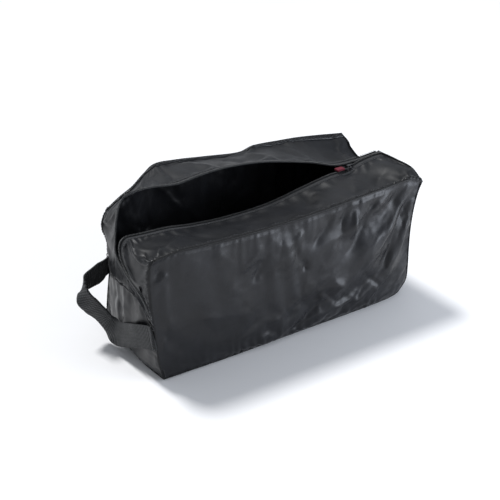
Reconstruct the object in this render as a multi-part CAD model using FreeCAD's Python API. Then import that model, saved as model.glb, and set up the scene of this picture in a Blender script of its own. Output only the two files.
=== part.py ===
"""Zipped shoe bag: a nylon box with a split top, a zip that runs over the top
and down the left end, and a webbing carry loop sewn to the left end.

Millimetres. +Z up, X along the bag (the carry loop is at -X), Y across it
(the front panel is at -Y). The origin is the centre of the bottom panel's
underside.
"""
import FreeCAD
import Part

import math
import os

V = FreeCAD.Vector
AXIS_X = V(1, 0, 0)

# ---------------------------------------------------------------- driving sizes
LENGTH = 320.0
DEPTH = 140.0
FRONT_HEIGHT = 142.0    # the front top seam sags, the back one stands
BACK_HEIGHT = 156.0
FABRIC = 1.2            # coated nylon with its lining and seam allowance
SEAM_DROP = 0.8         # panel tops stop this far under the zip strips
PLAY = 0.5              # gap between a moving strip and the fixed fabric

FRONT_SAG = 1.0         # degrees below level, zip edge of the front strip
BACK_LIFT = 8.0         # degrees above level, zip edge of the back strip

ROOT_X = 108.5          # the zip is closed, and the top fixed, right of here
ROOT_NOTCH_X = 127.0    # near the zip the fixed top starts here
ROOT_NOTCH_FRONT = 17.0
ROOT_NOTCH_BACK = 10.0
ROOT_ZIP_HALF = 3.4     # half the width of the closed zip between the two tops

END_SPLIT_Z = 76.0      # foot of the opening in the left end
V_TIP_Y = -46.0
V_FRONT_Y = -12.5       # front side of the V at the top
V_BACK_Y = 18.0         # back side of the V at the top

TAPE_WIDTH = 12.0
TAPE_THICK = 0.6
COIL_WIDTH = 2.4
COIL_THICK = 2.4
FRONT_REACH = 65.0      # hinge line to the coil's edge, front strip
BACK_REACH = 66.8       # hinge line to the coil's edge, back strip

SLIDER_X = 113.0
SLIDER_LENGTH = 14.0
SLIDER_REACH = 64.0     # hinge line to the slider's middle
SLIDER_WIDTH = 10.0
SLIDER_PLATE = 1.0
SLIDER_GAP = 3.2

PULL_ROD = 0.9          # radius
PULL_WIDTH = 7.0
PULL_ARM = 1.2
PULL_LENGTH = 9.0
TAB_LENGTH = 10.0
TAB_THICK = 2.5

STRAP_WIDTH = 25.0
STRAP_THICK = 2.0
STRAP_Z = 62.0
STRAP_STAND_OFF = 12.0  # hinge line of the loop, out from the end panel
LOOP_REACH = 35.0       # the loop's far side, out from the end panel
LOOP_END_Y = 56.0       # the loop's two ends, either side of its middle
LOOP_END_GAP = 2.2      # middle of a loop's end to the sewn piece's tip: their corners pass

BINDING_WIDTH = 8.0
BINDING_THICK = 0.8

# ------------------------------------------------------------------ worked out
LEFT = -LENGTH / 2
RIGHT = LENGTH / 2
FRONT = -DEPTH / 2
BACK = DEPTH / 2
INNER_LEFT = LEFT + FABRIC
INNER_RIGHT = RIGHT - FABRIC
INNER_FRONT = FRONT + FABRIC
INNER_BACK = BACK - FABRIC
HINGE_FRONT_Y = FRONT + FABRIC / 2
HINGE_BACK_Y = BACK - FABRIC / 2
HINGE_FRONT_Z = FRONT_HEIGHT + FABRIC / 2
HINGE_BACK_Z = BACK_HEIGHT + FABRIC / 2
TOP_SLOPE = (BACK_HEIGHT - FRONT_HEIGHT) / DEPTH
TOP_TILT = math.degrees(math.atan(TOP_SLOPE))
TOP_DEPTH = math.hypot(DEPTH, BACK_HEIGHT - FRONT_HEIGHT)
STRIP_LEFT = INNER_LEFT + PLAY
STRIP_RIGHT = ROOT_X - PLAY
STRAP_HINGE_X = LEFT - STRAP_STAND_OFF


def block(x0, x1, y0, y1, z0, z1):
    """A box between two corners."""
    return Part.makeBox(x1 - x0, y1 - y0, z1 - z0, V(x0, y0, z0))


def fuse(shapes):
    """One solid out of touching shapes, with its shared faces cleaned."""
    whole = shapes[0]
    for shape in shapes[1:]:
        whole = whole.fuse(shape)
    return whole.removeSplitter()


def end_plate(outline, x0, x1):
    """A plate across the bag, from its outline as (y, z) corners."""
    corners = [V(x0, y, z) for y, z in outline]
    corners.append(corners[0])
    return Part.Face(Part.makePolygon(corners)).extrude(V(x1 - x0, 0, 0))


def top_plate(outline, z0, z1):
    """A level plate, from its outline as (x, y) corners."""
    corners = [V(x, y, z0) for x, y in outline]
    corners.append(corners[0])
    return Part.Face(Part.makePolygon(corners)).extrude(V(0, 0, z1 - z0))


def turned(shape, y, z, degrees):
    """A shape turned about a line along X."""
    shape = shape.copy()
    shape.rotate(V(0, y, z), AXIS_X, degrees)
    return shape


def on_front_strip(shape):
    """Carry a shape drawn on the level front strip to where the strip sags."""
    return turned(shape, HINGE_FRONT_Y, HINGE_FRONT_Z, -FRONT_SAG)


def on_back_strip(shape):
    """Carry a shape drawn on the level back strip to where the strip lifts."""
    return turned(shape, HINGE_BACK_Y, HINGE_BACK_Z, -BACK_LIFT)


def on_slope(shape):
    """Carry a shape drawn level at the front seam onto the sloping closed top."""
    return turned(shape, HINGE_FRONT_Y, HINGE_FRONT_Z, TOP_TILT)


def rim(y):
    """Height of the end panels' top edge."""
    return FRONT_HEIGHT - SEAM_DROP + (y - FRONT) * TOP_SLOPE


# ---------------------------------------------------------------- fabric shell
def shell_panels():
    """Bottom, front, back and the two ends."""
    left_end = block(LEFT, INNER_LEFT, INNER_FRONT, INNER_BACK, FABRIC, END_SPLIT_Z)
    right_outline = [
        (INNER_FRONT, FABRIC), (INNER_BACK, FABRIC),
        (INNER_BACK, rim(INNER_BACK)), (INNER_FRONT, rim(INNER_FRONT)),
    ]
    right_end = end_plate(right_outline, INNER_RIGHT, RIGHT)
    front_top = FRONT_HEIGHT - SEAM_DROP
    back_top = BACK_HEIGHT - SEAM_DROP
    return {
        "bottom_panel": block(LEFT, RIGHT, FRONT, BACK, 0, FABRIC),
        "front_panel": block(LEFT, RIGHT, FRONT, INNER_FRONT, FABRIC, front_top),
        "back_panel": block(LEFT, RIGHT, INNER_BACK, BACK, FABRIC, back_top),
        "left_end_panel": left_end,
        "right_end_panel": right_end,
    }


def v_side(y_top, inset):
    """The V's side at its foot and its top, moved sideways by inset."""
    foot = (V_TIP_Y + inset, END_SPLIT_Z)
    top = (y_top + inset, rim(y_top + inset))
    return foot, top


def end_gores():
    """Where the zip strips run down the left end, on both sides of the V."""
    gap = TAPE_THICK
    front_foot, front_top = v_side(V_FRONT_Y, -gap)
    back_foot, back_top = v_side(V_BACK_Y, gap)
    front = [(INNER_FRONT, END_SPLIT_Z), front_foot, front_top, (INNER_FRONT, rim(INNER_FRONT))]
    back = [back_foot, (INNER_BACK, END_SPLIT_Z), (INNER_BACK, rim(INNER_BACK)), back_top]
    return {
        "front_end_gore": end_plate(front, LEFT, INNER_LEFT),
        "back_end_gore": end_plate(back, LEFT, INNER_LEFT),
    }


def end_lip(y0, y1):
    """The fixed top's turned-down edge over the right end panel."""
    over = SEAM_DROP + FABRIC / 2
    outline = [(y0, rim(y0)), (y1, rim(y1)), (y1, rim(y1) + over), (y0, rim(y0) + over)]
    return end_plate(outline, INNER_RIGHT, RIGHT)


def fixed_tops():
    """The top right of the slider, where the zip stays closed."""
    z0 = HINGE_FRONT_Z - FABRIC / 2
    z1 = HINGE_FRONT_Z + FABRIC / 2
    back_edge = FRONT + TOP_DEPTH
    front = [
        (ROOT_X, FRONT), (RIGHT, FRONT), (RIGHT, -ROOT_ZIP_HALF), (ROOT_NOTCH_X, -ROOT_ZIP_HALF),
        (ROOT_NOTCH_X, -ROOT_NOTCH_FRONT), (ROOT_X, -ROOT_NOTCH_FRONT),
    ]
    back = [
        (ROOT_X, back_edge), (ROOT_X, ROOT_NOTCH_BACK), (ROOT_NOTCH_X, ROOT_NOTCH_BACK),
        (ROOT_NOTCH_X, ROOT_ZIP_HALF), (RIGHT, ROOT_ZIP_HALF), (RIGHT, back_edge),
    ]
    front_lip = block(ROOT_X, RIGHT, FRONT, INNER_FRONT, FRONT_HEIGHT - SEAM_DROP, HINGE_FRONT_Z)
    back_lip = block(ROOT_X, RIGHT, INNER_BACK, BACK, BACK_HEIGHT - SEAM_DROP, HINGE_BACK_Z)
    front_top = on_slope(top_plate(front, z0, z1))
    back_top = on_slope(top_plate(back, z0, z1))
    return {
        "front_fixed_top": fuse([front_top, front_lip, end_lip(INNER_FRONT, -ROOT_ZIP_HALF - 1)]),
        "back_fixed_top": fuse([back_top, back_lip, end_lip(ROOT_ZIP_HALF + 1, INNER_BACK)]),
    }


def zip_strip(hinge_y, hinge_z, inward, reach):
    """One moving zip strip, level: fabric, tape and coil, as three solids."""
    coil_edge = hinge_y + inward * reach
    coil_root = coil_edge - inward * COIL_WIDTH
    tape_root = coil_root - inward * TAPE_WIDTH
    seam = hinge_y + inward * FABRIC / 2

    def run(ya, yb, half):
        return block(STRIP_LEFT, STRIP_RIGHT, min(ya, yb), max(ya, yb), hinge_z - half, hinge_z + half)

    fabric = run(seam, tape_root, FABRIC / 2)
    fabric = fabric.makeFillet(FABRIC / 2 - 0.02, long_edges_at(fabric, seam))
    return fabric, run(tape_root, coil_root, TAPE_THICK / 2), run(coil_root, coil_edge, COIL_THICK / 2)


def long_edges_at(shape, y):
    """The straight edges along X that lie at one y."""
    found = []
    for edge in shape.Edges:
        middle = edge.CenterOfMass
        if abs(middle.y - y) < 0.01 and edge.Length > LENGTH / 2:
            found.append(edge)
    return found


def moving_strips():
    """Front and back zip strips where they rest."""
    front = zip_strip(HINGE_FRONT_Y, HINGE_FRONT_Z, 1, FRONT_REACH)
    back = zip_strip(HINGE_BACK_Y, HINGE_BACK_Z, -1, BACK_REACH)
    names = ("zip_strip", "zip_tape", "zip_coil")
    parts = {}
    for name, shape in zip(names, front):
        parts["front_" + name] = on_front_strip(shape)
    for name, shape in zip(names, back):
        parts["back_" + name] = on_back_strip(shape)
    return parts


# ------------------------------------------------------------------- fixed zip
def closed_zip():
    """The closed length right of the slider, with its bar tack at the seam."""
    right = RIGHT - 3.0
    tape_half = ROOT_ZIP_HALF
    coil_half = COIL_WIDTH / 2 + 0.3
    tape_z = HINGE_FRONT_Z - TAPE_THICK / 2
    coil_z = tape_z + TAPE_THICK
    top = HINGE_FRONT_Z + COIL_THICK / 2
    tape = block(ROOT_NOTCH_X, right, -tape_half, tape_half, tape_z, coil_z)
    coil = block(ROOT_NOTCH_X, right, -coil_half, coil_half, coil_z, top)
    tack = block(right, RIGHT, -tape_half, tape_half, tape_z, top)
    return {
        "closed_zip_tape": on_slope(tape),
        "closed_zip_coil": on_slope(coil),
        "right_bar_tack": on_slope(tack),
    }


def end_zip():
    """Tape with its coil down each side of the V, and the bar tack at its foot."""
    parts = {}
    x0 = LEFT - 0.2
    x1 = INNER_LEFT + 0.2
    width = 3.0
    for name, y_top, inward in (("front", V_FRONT_Y, 1), ("back", V_BACK_Y, -1)):
        outer_foot, outer_top = v_side(y_top, -inward * TAPE_THICK)
        inner_y = outer_top[0] + inward * width
        inner_top = (inner_y, rim(inner_y))
        foot_z = END_SPLIT_Z + 2.5 * width
        run = (foot_z - outer_foot[1]) / (outer_top[1] - outer_foot[1])
        outer_foot = (outer_foot[0] + run * (outer_top[0] - outer_foot[0]), foot_z)
        inner_foot = (outer_foot[0] + inward * 0.8, foot_z)
        outline = [outer_foot, inner_foot, inner_top, outer_top]
        parts[name + "_end_zip"] = end_plate(outline, x0, x1)
    tack_half = 4.0
    tack = block(LEFT - 1.0, LEFT, V_TIP_Y - tack_half, V_TIP_Y + tack_half, END_SPLIT_Z - 3.0, END_SPLIT_Z)
    parts["left_bar_tack"] = tack
    return parts


# ---------------------------------------------------------------------- slider
def slider_block(x0, x1, r0, r1, z0, z1):
    """A box on the front strip: x from the slider, r from the strip's hinge line."""
    y = HINGE_FRONT_Y
    z = HINGE_FRONT_Z
    return block(SLIDER_X + x0, SLIDER_X + x1, y + r0, y + r1, z + z0, z + z1)


def slider():
    """Two plates on a post, rims around the tape, and a bridge for the pull."""
    half = SLIDER_LENGTH / 2
    near = SLIDER_REACH - SLIDER_WIDTH / 2
    far = SLIDER_REACH + SLIDER_WIDTH / 2
    inner = SLIDER_GAP / 2
    outer = inner + SLIDER_PLATE
    rim = 0.8
    pieces = []
    for side in (-1, 1):
        z0, z1 = sorted((side * inner, side * outer))
        pieces.append(slider_block(-half, half, near, far, z0, z1))
        z0, z1 = sorted((side * rim, side * inner))
        pieces.append(slider_block(-half, half, near, near + 1.0, z0, z1))
        pieces.append(slider_block(-half, half, far - 1.0, far, z0, z1))
    pieces.append(slider_block(-half, -half + 5.0, SLIDER_REACH + 2.0, SLIDER_REACH + 3.5, -inner, inner))
    bridge = slider_block(-4.0, 4.0, SLIDER_REACH - 1.2, SLIDER_REACH + 1.2, outer, outer + 3.6)
    eye = slider_block(-2.6, 2.6, SLIDER_REACH - 2.0, SLIDER_REACH + 2.0, outer, outer + 2.4)
    pieces.append(bridge.cut(eye))
    return on_front_strip(fuse(pieces))


def pull():
    """The wire pull through the slider's bridge, and the soft red tab on it."""
    rod_z = SLIDER_GAP / 2 + SLIDER_PLATE + 1.2
    near = SLIDER_REACH - PULL_WIDTH / 2
    far = SLIDER_REACH + PULL_WIDTH / 2
    rod_start = V(SLIDER_X, HINGE_FRONT_Y + near, HINGE_FRONT_Z + rod_z)
    rod = Part.makeCylinder(PULL_ROD, PULL_WIDTH, rod_start, V(0, 1, 0))
    arm_half = PULL_ARM / 2
    z0 = rod_z - arm_half
    z1 = rod_z + arm_half
    arms = [
        slider_block(-PULL_LENGTH, PULL_ROD, near, near + PULL_ARM, z0, z1),
        slider_block(-PULL_LENGTH, PULL_ROD, far - PULL_ARM, far, z0, z1),
        slider_block(-PULL_LENGTH, -PULL_LENGTH + PULL_ARM, near, far, z0, z1),
    ]
    tab_end = -PULL_LENGTH - TAB_LENGTH
    tab_half = TAB_THICK / 2
    tab = slider_block(tab_end, -PULL_LENGTH, near, far, rod_z - tab_half, rod_z + tab_half)
    tab = tab.makeFillet(0.8, tab.Edges)
    return {
        "zip_pull": on_front_strip(fuse([rod] + arms)),
        "red_pull_tab": on_front_strip(tab),
    }


# ---------------------------------------------------------------- carry handle
def rounded_path(points, radius):
    """Straight runs joined by arcs, in the level plane, through (x, y) points."""
    corners = [V(x, y, 0) for x, y in points]
    edges = []
    start = corners[0]
    for before, corner, after in zip(corners, corners[1:], corners[2:]):
        into = (corner - before).normalize()
        out = (after - corner).normalize()
        turn = into.getAngle(out)
        cut = radius * math.tan(turn / 2)
        arc_in = corner - into * cut
        arc_out = corner + out * cut
        toward = (out - into).normalize()
        middle = corner + toward * (radius / math.cos(turn / 2) - radius)
        edges.append(Part.makeLine(start, arc_in))
        edges.append(Part.Arc(arc_in, middle, arc_out).toShape())
        start = arc_out
    edges.append(Part.makeLine(start, corners[-1]))
    return Part.Wire(edges)


def webbing(points, radius):
    """Webbing on edge: its width stands in Z, centred on the handle's height."""
    path = rounded_path(points, radius)
    start = V(points[0][0], points[0][1], 0)
    along = (V(points[1][0], points[1][1], 0) - start).normalize()
    side = V(-along.y, along.x, 0) * (STRAP_THICK / 2)
    rise = V(0, 0, STRAP_WIDTH / 2)
    corners = [start + side + rise, start - side + rise, start - side - rise, start + side - rise]
    corners.append(corners[0])
    swept = path.makePipeShell([Part.makePolygon(corners)], True, False)
    swept.translate(V(0, 0, STRAP_Z))
    return swept


def handle():
    """The loop that swings, and its two ends sewn into the end's seams."""
    far = LEFT - LOOP_REACH
    hinge = STRAP_HINGE_X
    loop = webbing(
        [(hinge, LOOP_END_Y), (far + 6.0, 52.0), (far, 32.0), (far + 12.0, 2.0), (hinge - 3.0, -34.0),
         (hinge, -LOOP_END_Y)],
        6.0,
    )
    parts = {"carry_handle": loop}
    for name, side in (("front", -1), ("back", 1)):
        seam = side * (DEPTH / 2 - 2.0)
        tip = side * (LOOP_END_Y + LOOP_END_GAP)
        start = (LEFT - STRAP_THICK / 2, seam)
        bend = (LEFT - STRAP_THICK / 2 - 1.0, side * 64.0)
        parts["handle_" + name + "_end"] = webbing([start, bend, (hinge + 0.4, tip)], 2.0)
        tack = block(LEFT - 0.8, LEFT, min(seam, seam + side * 1.9), max(seam, seam + side * 1.9),
                     STRAP_Z - STRAP_WIDTH / 2, STRAP_Z + STRAP_WIDTH / 2)
        parts["handle_" + name + "_bar_tack"] = tack
    return parts


# -------------------------------------------------------------- seam bindings
def frame_at_end(x0, x1, z_top):
    """A flat frame inside an end, along its seams."""
    outer = block(x0, x1, INNER_FRONT, INNER_BACK, FABRIC, z_top)
    hole = block(
        x0 - 1, x1 + 1,
        INNER_FRONT + BINDING_WIDTH, INNER_BACK - BINDING_WIDTH,
        FABRIC + BINDING_WIDTH, z_top + 1,
    )
    return outer.cut(hole)


def bindings():
    """Narrow tape over the raw seam edges inside the bag."""
    z_top = FRONT_HEIGHT - 32.0
    left = frame_at_end(INNER_LEFT, INNER_LEFT + BINDING_THICK, END_SPLIT_Z - 5.0)
    right = frame_at_end(INNER_RIGHT - BINDING_THICK, INNER_RIGHT, z_top)
    x0 = INNER_LEFT + BINDING_THICK
    x1 = INNER_RIGHT - BINDING_THICK
    z1 = FABRIC + BINDING_THICK
    return {
        "left_seam_binding": left,
        "right_seam_binding": right,
        "front_bottom_binding": block(x0, x1, INNER_FRONT, INNER_FRONT + BINDING_WIDTH, FABRIC, z1),
        "back_bottom_binding": block(x0, x1, INNER_BACK - BINDING_WIDTH, INNER_BACK, FABRIC, z1),
    }


def build():
    """Every node by name."""
    parts = {}
    parts.update(shell_panels())
    parts.update(end_gores())
    parts.update(fixed_tops())
    parts.update(moving_strips())
    parts.update(closed_zip())
    parts.update(end_zip())
    parts["zip_slider"] = slider()
    parts.update(pull())
    parts.update(handle())
    parts.update(bindings())
    return parts


os.makedirs("parts", exist_ok=True)
for node, shape in build().items():
    shape.exportStep(os.path.join("parts", node + ".step"))
    print(node, "valid" if shape.isValid() else "INVALID", len(shape.Solids), round(shape.Volume, 1))
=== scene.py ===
"""The look of the zipped shoe bag: crinkled nylon panels, zip, slider and webbing loop."""

import math

import bpy
import numpy as np
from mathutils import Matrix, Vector, noise


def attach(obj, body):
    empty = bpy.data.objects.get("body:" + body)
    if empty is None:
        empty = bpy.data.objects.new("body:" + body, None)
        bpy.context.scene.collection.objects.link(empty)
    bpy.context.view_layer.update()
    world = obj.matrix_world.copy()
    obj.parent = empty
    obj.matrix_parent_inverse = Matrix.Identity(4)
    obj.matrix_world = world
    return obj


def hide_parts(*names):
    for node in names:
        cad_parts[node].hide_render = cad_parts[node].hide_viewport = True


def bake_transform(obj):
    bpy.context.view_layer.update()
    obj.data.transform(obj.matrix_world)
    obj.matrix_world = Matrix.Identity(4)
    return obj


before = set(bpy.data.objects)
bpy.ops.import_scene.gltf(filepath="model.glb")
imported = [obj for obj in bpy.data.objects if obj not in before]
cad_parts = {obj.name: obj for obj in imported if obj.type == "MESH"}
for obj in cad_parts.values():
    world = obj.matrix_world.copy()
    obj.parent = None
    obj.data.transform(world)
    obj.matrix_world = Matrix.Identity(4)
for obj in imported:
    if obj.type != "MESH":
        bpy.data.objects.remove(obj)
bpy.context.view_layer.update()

# All sizes are in millimetres. MM turns them into Blender's metres.
MM = 0.001
WELT = 0.75            # radius of the raised fold along a sewn edge
TOP_WELT = 1.15        # the same along the two top seams
GRID = 4.0             # spacing of the panels' grids
STRIP_GRID = 3.6       # spacing of the zip strips' grids
STRIP_ROWS = 18        # grid points across a zip strip
STRIP_SAMPLES = 460    # points along a strip's seam and zip lines
SIM_FRAMES = 22        # length of each cloth simulation
PANEL_THICK = 0.5
STRIP_THICK = 0.45
BOTTOM_THICK = 0.4
HEM_THICK = 0.3
TAPE_THICK = 0.45
BINDING_THICK = 0.6
TAPE = 6.0             # zip tape showing between the fabric's edge and the coil
COIL_PITCH = 1.35
COIL_LOOP = (0.46, 1.35, 0.85)     # half sizes of one loop: along, across and out of the tape
STRAP_WIDTH = 25.0
STRAP_THICK = 1.7
SPLIT_X = 118.0        # the zip strips are cut here into a left and a right piece


# ---- curves
def catmull_rom(four, t):
    """The curve between the middle two of four points."""
    p0, p1, p2, p3 = four
    return (2 * p1 + (p2 - p0) * t + (2 * p0 - 5 * p1 + 4 * p2 - p3) * t ** 2
            + (3 * p1 - p0 - 3 * p2 + p3) * t ** 3) / 2


def padded(pts):
    """The points with one more at each end, so that the curve reaches both ends."""
    return np.vstack([2 * pts[0] - pts[1], pts, 2 * pts[-1] - pts[-2]])


def spline(points, count):
    """Points evenly along a Catmull-Rom curve through the given ones."""
    pts = np.array(points, float)
    pad = padded(pts)
    t = np.linspace(0, 1, 24, endpoint=False)[:, None]
    dense = [catmull_rom(pad[i:i + 4], t) for i in range(len(pts) - 1)]
    dense.append(pts[-1:])
    return resample(np.vstack(dense), count)


def spline_by_station(points, count):
    """A Catmull-Rom curve whose parameter keeps to the stations, so two curves stay paired."""
    pts = np.array(points, float)
    pad = padded(pts)
    out = np.empty((count, 3))
    for n, x in enumerate(np.linspace(0, len(pts) - 1, count)):
        i = min(int(x), len(pts) - 2)
        out[n] = catmull_rom(pad[i:i + 4], x - i)
    return out


def distances(line):
    """Distance along a polyline at each of its points."""
    step = np.linalg.norm(np.diff(line, axis=0), axis=1)
    return np.concatenate([[0], np.cumsum(step)])


def resample(line, count):
    """Points evenly along a polyline."""
    along = distances(line)
    want = np.linspace(0, along[-1], count)
    return np.stack([np.interp(want, along, line[:, k]) for k in range(3)], axis=1)


def at(line, where):
    """Points at fractional indices of a line."""
    index = np.arange(len(line))
    return np.stack([np.interp(where, index, line[:, k]) for k in range(3)], axis=1)


def unit(vectors):
    """Rows scaled to length 1."""
    return vectors / np.linalg.norm(vectors, axis=1, keepdims=True)


def smooth(t):
    """Ease from 0 to 1."""
    t = np.clip(t, 0, 1)
    return t * t * (3 - 2 * t)


def line_length(line):
    """Length of a polyline."""
    return float(np.linalg.norm(np.diff(line, axis=0), axis=1).sum())


# ---- edges of the sewn panels
# These points were placed with the photo's fitted camera, then rounded and moved against renders. The back,
# bottom and right end are guessed. They are not worked out from the frame.
FOOT_FRONT = (-167, -69.5, 62)
FOOT_ZIP = (-165.5, -60, 71)
FOOT_BAND = (-166.5, -57, 66)

# Each station is a point on the sewn seam and the point of the zip's edge across from it.
FRONT_STATIONS = [
    (FOOT_FRONT, FOOT_ZIP),
    ((-168.5, -69.5, 72), (-167, -59.5, 80)),
    ((-169.5, -70, 82), (-168, -55, 89)),
    ((-170, -70, 94), (-169, -44, 95.5)),
    ((-170, -70, 105), (-169.5, -29, 100.5)),
    ((-170, -70, 115), (-169.5, -16, 106)),
    ((-169.5, -70, 124.5), (-168.5, -5, 115)),
    ((-168, -69.5, 132), (-166, -1, 125)),
    ((-163.5, -69.5, 137), (-161.5, -4, 132)),
    ((-155, -69.5, 138), (-153, -6, 133)),
    ((-138, -70, 140), (-139, -7.5, 133)),
    ((-118, -70.5, 139), (-118, -8, 132.5)),
    ((-90, -71, 138), (-90, -8.5, 129)),
    ((-50, -71.5, 137.5), (-50, -9, 127)),
    ((0, -72, 138.5), (0, -9, 129)),
    ((45, -71.5, 140.5), (45, -7.5, 136)),
    ((80, -71, 143), (80, -6.5, 141.5)),
    ((108, -70.5, 144.5), (106, -5.5, 142.5)),
    ((128, -70, 145.5), (127, -2.6, 147)),
    ((146, -69.5, 145.5), (146, -2.2, 150)),
    ((163, -69, 139), (160, -2.0, 150.3)),
]
FRONT_CORNER = 8       # the front strip turns from the end onto the top here

BACK_STATIONS = [
    (FOOT_BAND, FOOT_ZIP),
    ((-168, -44, 79), (-168, -53, 86)),
    ((-168.5, -30, 83.5), (-169, -42, 93)),
    ((-168.5, -14, 83), (-169.5, -27, 98)),
    ((-167, 6, 79.5), (-169.5, -13, 103)),
    ((-164, 28, 79), (-169, 0, 108)),
    ((-158, 48, 81), (-168, 7, 115)),
    ((-151, 66, 84), (-166, 10, 124)),
    ((-151.5, 66, 96), (-163.5, 13, 136)),
    ((-154.5, 66, 108), (-160, 15, 148)),
    ((-156, 66, 118), (-155, 17, 159)),
    ((-148, 67, 130), (-147, 17, 166)),
    ((-133, 68, 140), (-133, 16, 168)),
    ((-117, 69, 148), (-117, 15, 168)),
    ((-102, 71, 158.5), (-103, 13, 167)),
    ((-87, 74, 165), (-90, 12, 167)),
    ((-60, 76, 163), (-63, 13, 170)),
    ((-25, 76, 159), (-34, 13, 171)),
    ((17, 76, 154.5), (2, 11, 169)),
    ((38, 76, 158.5), (33, 8, 164)),
    ((70, 75.5, 157.5), (66, 4, 157)),
    ((99, 75, 156), (98, 0.5, 148)),
    ((128, 73, 153.5), (127, 0.2, 147.3)),
    ((159.5, 70, 150.5), (160, 0.4, 150.3)),
]
BACK_FOOT = 7          # the band's outer seam meets the vertical back seam
BACK_CORNER = 10       # and the vertical seam turns into the top seam

RIM_FRONT = [(163, -69, 139), (162.5, -52, 149), (161, -30, 151), (160, -2, 150.3)]
RIM_BACK = [(159.5, 70, 150.5), (159.5, 57, 145), (159, 50, 139), (159, 30, 132), (159.5, 12, 142),
            (160, 0.4, 150.3)]
FOOT_EDGE_FRONT = [FOOT_FRONT, (-167, -65, 66), FOOT_ZIP]
FOOT_EDGE_BACK = [FOOT_BAND, (-166.5, -58.5, 68.5), FOOT_ZIP]

FLOOR_FRONT = [(-160, -69, 2.4), (-80, -70.5, 2.2), (0, -70, 2.4), (80, -69.5, 2.0), (120, -69, 2.4),
               (140, -67.5, 4), (149, -65, 7)]
FLOOR_BACK = [(-159, 68, 2.4), (-80, 70, 2.2), (0, 70.5, 2.4), (80, 70, 2.2), (157, 68, 3)]
FLOOR_LEFT = [(-160, -69, 2.4), (-164, -30, 2.0), (-163, 30, 2.0), (-159, 68, 2.4)]
FLOOR_RIGHT = [(149, -65, 7), (158, -45, 2.4), (160, -25, 2.0), (160, 30, 2.0), (157, 68, 3)]
POST_FRONT_LEFT = [(-160, -69, 2.4), (-164.5, -70, 22), (-166, -69.5, 42), FOOT_FRONT]
POST_BACK_LEFT = [(-159, 68, 2.4), (-156, 67, 30), (-152, 66, 60), (-151, 66, 84)]
POST_FRONT_RIGHT = [(149, -65, 7), (152.5, -68.5, 20), (153, -69, 36), (151.5, -69.5, 62), (151.5, -69.5, 86),
                    (154, -69, 108), (158, -69, 127), (163, -69, 139)]
POST_BACK_RIGHT = [(157, 68, 3), (156, 71, 50), (156, 73, 100), (158, 72, 135), (159.5, 70, 150.5)]


def seam_points(stations, first=0, last=None):
    """The sewn side of a strip's stations."""
    return [pair[0] for pair in stations[first:last]]


def end_seam():
    """The top edge of the left end panel, from the front seam to the back one."""
    return [FOOT_FRONT, (-167, -62, 64)] + seam_points(BACK_STATIONS, 0, BACK_FOOT + 1)


def zip_points(stations):
    """The zip side of a strip's stations."""
    return [pair[1] for pair in stations]


# ---- cloth grids
def off_straight(line, v):
    """How far a line's points lie from the straight line between its ends."""
    return line - ((1 - v) * line[0] + v * line[-1])


def coons(bottom, top, left, right, nu, nv, fade):
    """A grid over four edges. The side edges' own shape fades out within fade of the width."""
    c0 = resample(np.array(bottom), nu)
    c1 = resample(np.array(top), nu)
    d0 = resample(np.array(left), nv)
    d1 = resample(np.array(right), nv)
    u = np.linspace(0, 1, nu)[:, None, None]
    v = np.linspace(0, 1, nv)[None, :, None]
    ruled = (1 - v) * c0[:, None, :] + v * c1[:, None, :]
    w0 = 1 - smooth(u / fade)
    w1 = 1 - smooth((1 - u) / fade)
    return ruled + w0 * off_straight(d0, v[0])[None, :, :] + w1 * off_straight(d1, v[0])[None, :, :]


def grid_normals(grid):
    """Unit normals of a grid of points."""
    du = np.gradient(grid, axis=0)
    dv = np.gradient(grid, axis=1)
    n = np.cross(du, dv)
    return n / np.maximum(np.linalg.norm(n, axis=2, keepdims=True), 1e-9)


def grid_uv(grid):
    """Texture coordinates in millimetres along the cloth."""
    du = np.linalg.norm(np.diff(grid, axis=0), axis=2).mean(axis=1)
    dv = np.linalg.norm(np.diff(grid, axis=1), axis=2).mean(axis=0)
    u = np.concatenate([[0], np.cumsum(du)])
    v = np.concatenate([[0], np.cumsum(dv)])
    return np.stack(np.meshgrid(u, v, indexing="ij"), axis=2)


def add_mesh(name, verts, faces, uv=None):
    """A smooth mesh object from millimetres."""
    mesh = bpy.data.meshes.new(name)
    mesh.from_pydata((np.asarray(verts, float) * MM).tolist(), [], faces)
    mesh.shade_smooth()
    if uv is not None:
        layer = mesh.uv_layers.new(name="UVMap")
        index = np.zeros(len(mesh.loops), int)
        mesh.loops.foreach_get("vertex_index", index)
        layer.data.foreach_set("uv", (np.asarray(uv, float)[index] * MM * 10).ravel())
    mesh.update()
    piece = bpy.data.objects.new(name, mesh)
    bpy.context.collection.objects.link(piece)
    return piece


def grid_faces(nu, nv):
    """Quads of an nu by nv grid."""
    return [(i * nv + k, (i + 1) * nv + k, (i + 1) * nv + k + 1, i * nv + k + 1)
            for i in range(nu - 1) for k in range(nv - 1)]


def grid_mesh(name, grid, flip=False):
    """A mesh object from a grid of points."""
    nu, nv = grid.shape[:2]
    faces = grid_faces(nu, nv)
    if flip:
        faces = [face[::-1] for face in faces]
    return add_mesh(name, grid.reshape(-1, 3), faces, grid_uv(grid).reshape(-1, 2))


def upsample(grid):
    """Twice as fine, on smooth curves through the grid's points."""
    for axis in (0, 1):
        moved = np.moveaxis(grid, axis, 0)
        pad = np.concatenate([2 * moved[:1] - moved[1:2], moved, 2 * moved[-1:] - moved[-2:-1]])
        middle = (9 * (pad[1:-2] + pad[2:-1]) - (pad[:-3] + pad[3:])) / 16
        fine = np.empty((2 * moved.shape[0] - 1,) + moved.shape[1:])
        fine[0::2] = moved
        fine[1::2] = middle
        grid = np.moveaxis(fine, 0, axis)
    return grid


def rub(uv, scale, seed):
    """Smooth noise over the cloth, about -1 to 1."""
    flat = uv.reshape(-1, 2) / scale
    values = [noise.noise(Vector((u, v, seed))) for u, v in flat]
    return np.array(values).reshape(uv.shape[:2])


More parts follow.
